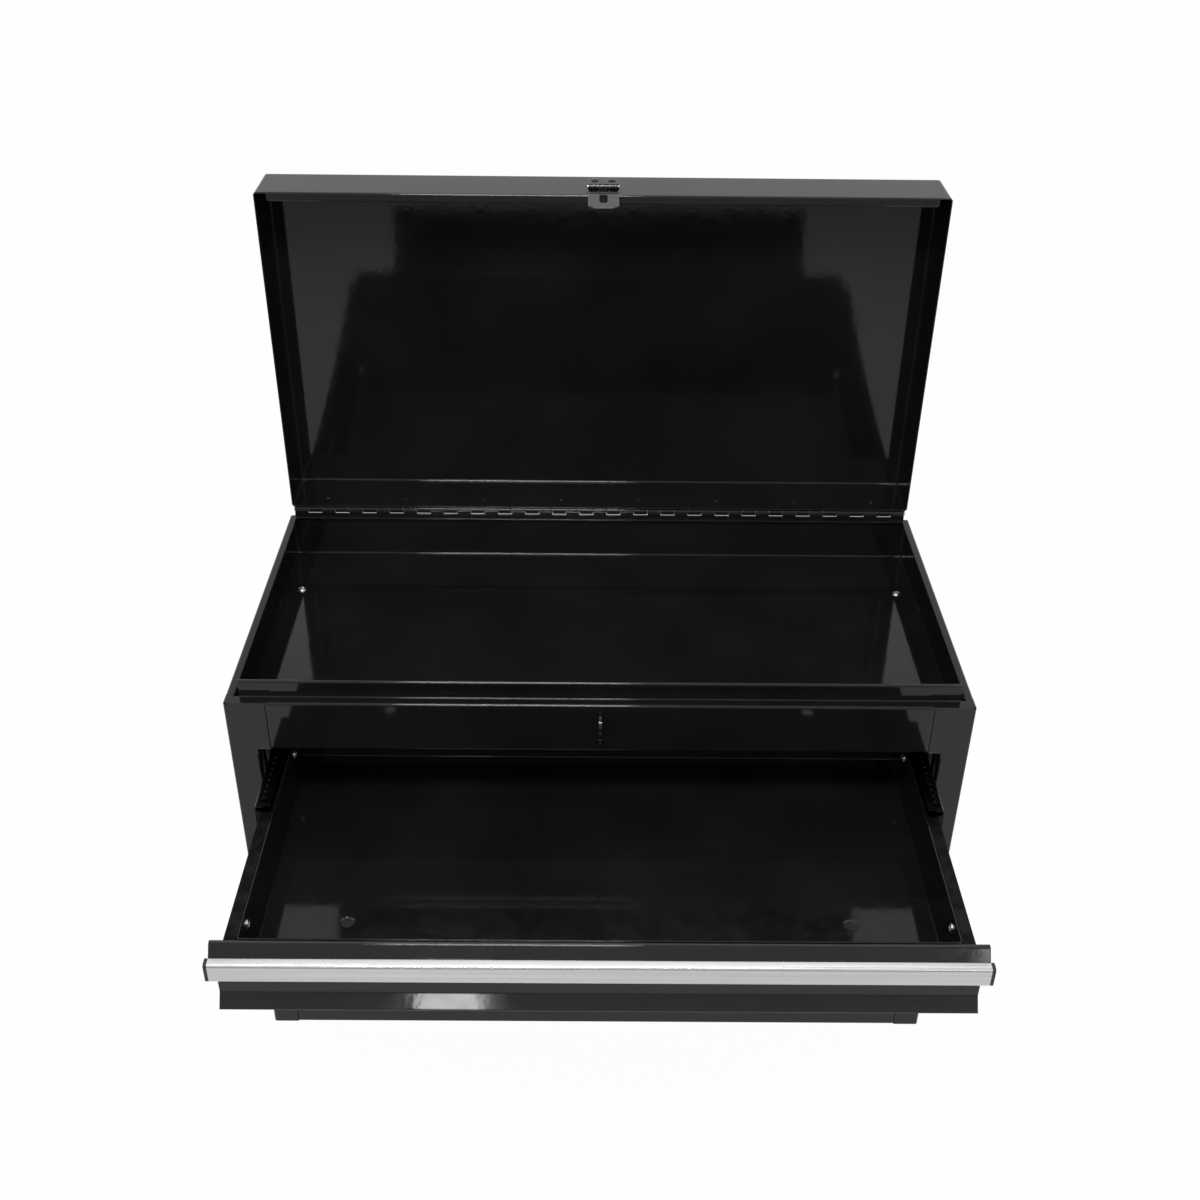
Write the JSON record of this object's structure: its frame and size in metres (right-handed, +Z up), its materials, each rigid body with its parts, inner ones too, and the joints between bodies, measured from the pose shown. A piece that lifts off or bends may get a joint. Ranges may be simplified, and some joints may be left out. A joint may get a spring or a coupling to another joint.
{
  "type": "machinist tool chest",
  "caption": "Tabletop steel tool chest with a hinged lid over a till, full-width drawers on ball-bearing slides, and a hasp and staple for a padlock.",
  "frame": {"origin": "centre of the case's footprint, on the plane it stands on", "axes": "+Z up, +X to the viewer's right when facing the drawers, -Y out of the drawer fronts"},
  "size_m": [0.6, 0.5703, 0.6921],
  "materials": {
    "black_paint": "high gloss black enamel on folded sheet steel",
    "pull_aluminium": "satin extruded aluminium",
    "cap_plastic": "moulded black plastic",
    "zinc": "bright zinc plate",
    "slide_steel": "dark plated slide steel"
  },
  "bodies": {
    "case": {"left_side": "black_paint", "right_side": "black_paint", "rear_panel": "black_paint", "base_panel": "black_paint", "front_header": "black_paint", "till_pan": "black_paint", "till_screws": "zinc", "hasp_staple": "black_paint", "staple_rivet": "zinc", "front_left_upright": "black_paint", "front_right_upright": "black_paint", "rear_left_upright": "black_paint", "rear_right_upright": "black_paint", "hinge_case_leaf": "black_paint", "hinge_pin": "zinc", "hinge_case_rivets": "zinc", "cabinet_rails_1": "slide_steel", "cabinet_rails_2": "slide_steel", "cabinet_rails_3": "slide_steel", "cabinet_rails_4": "slide_steel"},
    "lid": {"lid_shell": "black_paint", "hinge_lid_leaf": "black_paint", "hinge_lid_rivets": "zinc", "hasp_leaf": "black_paint", "hasp_pin": "zinc", "hasp_rivets": "zinc"},
    "hasp": {"hasp_tongue": "black_paint"},
    "drawer_1": {"drawer_tray_1": "black_paint", "drawer_front_1": "black_paint", "drawer_pull_1": "pull_aluminium", "pull_caps_1": "cap_plastic", "drawer_rails_1": "slide_steel", "rail_screws_1": "zinc"},
    "runner_1": {"runner_rails_1": "slide_steel", "ball_cages_1": "slide_steel"},
    "drawer_2": {"drawer_tray_2": "black_paint", "drawer_front_2": "black_paint", "drawer_pull_2": "pull_aluminium", "pull_caps_2": "cap_plastic", "drawer_rails_2": "slide_steel", "rail_screws_2": "zinc"},
    "runner_2": {"runner_rails_2": "slide_steel", "ball_cages_2": "slide_steel"},
    "drawer_3": {"drawer_tray_3": "black_paint", "drawer_front_3": "black_paint", "drawer_pull_3": "pull_aluminium", "pull_caps_3": "cap_plastic", "drawer_rails_3": "slide_steel", "rail_screws_3": "zinc"},
    "runner_3": {"runner_rails_3": "slide_steel", "ball_cages_3": "slide_steel"},
    "drawer_4": {"drawer_tray_4": "black_paint", "drawer_front_4": "black_paint", "drawer_pull_4": "pull_aluminium", "pull_caps_4": "cap_plastic", "drawer_rails_4": "slide_steel", "rail_screws_4": "zinc"},
    "runner_4": {"runner_rails_4": "slide_steel", "ball_cages_4": "slide_steel"}
  },
  "joints": [
    {"name": "lid_hinge", "type": "hinge", "parent": "case", "child": "lid", "pos_m": [0, 0.15665, 0.374], "axis": [1, 0, 0], "range_deg": [0, 89]},
    {"name": "hasp_hinge", "type": "hinge", "parent": "lid", "child": "hasp", "pos_m": [0, 0.16115, 0.68933], "axis": [-1, 0, 0], "range_deg": [0, 170]},
    {"name": "drawer_1_slide", "type": "slide", "parent": "case", "child": "drawer_1", "axis": [0, -1, 0], "range_m": [-0.208, 0.022]},
    {"name": "runner_1_slide", "type": "slide", "parent": "case", "child": "runner_1", "axis": [0, -1, 0], "range_m": [-0.104, 0.011]},
    {"name": "drawer_2_slide", "type": "slide", "parent": "case", "child": "drawer_2", "axis": [0, -1, 0], "range_m": [0, 0.23]},
    {"name": "runner_2_slide", "type": "slide", "parent": "case", "child": "runner_2", "axis": [0, -1, 0], "range_m": [0, 0.115]},
    {"name": "drawer_3_slide", "type": "slide", "parent": "case", "child": "drawer_3", "axis": [0, -1, 0], "range_m": [0, 0.23]},
    {"name": "runner_3_slide", "type": "slide", "parent": "case", "child": "runner_3", "axis": [0, -1, 0], "range_m": [0, 0.115]},
    {"name": "drawer_4_slide", "type": "slide", "parent": "case", "child": "drawer_4", "axis": [0, -1, 0], "range_m": [0, 0.23]},
    {"name": "runner_4_slide", "type": "slide", "parent": "case", "child": "runner_4", "axis": [0, -1, 0], "range_m": [0, 0.115]}
  ],
  "couplings": [
    {"joint": "runner_1_slide", "follows": "drawer_1_slide", "ratio": 0.5},
    {"joint": "runner_2_slide", "follows": "drawer_2_slide", "ratio": 0.5},
    {"joint": "runner_3_slide", "follows": "drawer_3_slide", "ratio": 0.5},
    {"joint": "runner_4_slide", "follows": "drawer_4_slide", "ratio": 0.5}
  ]
}
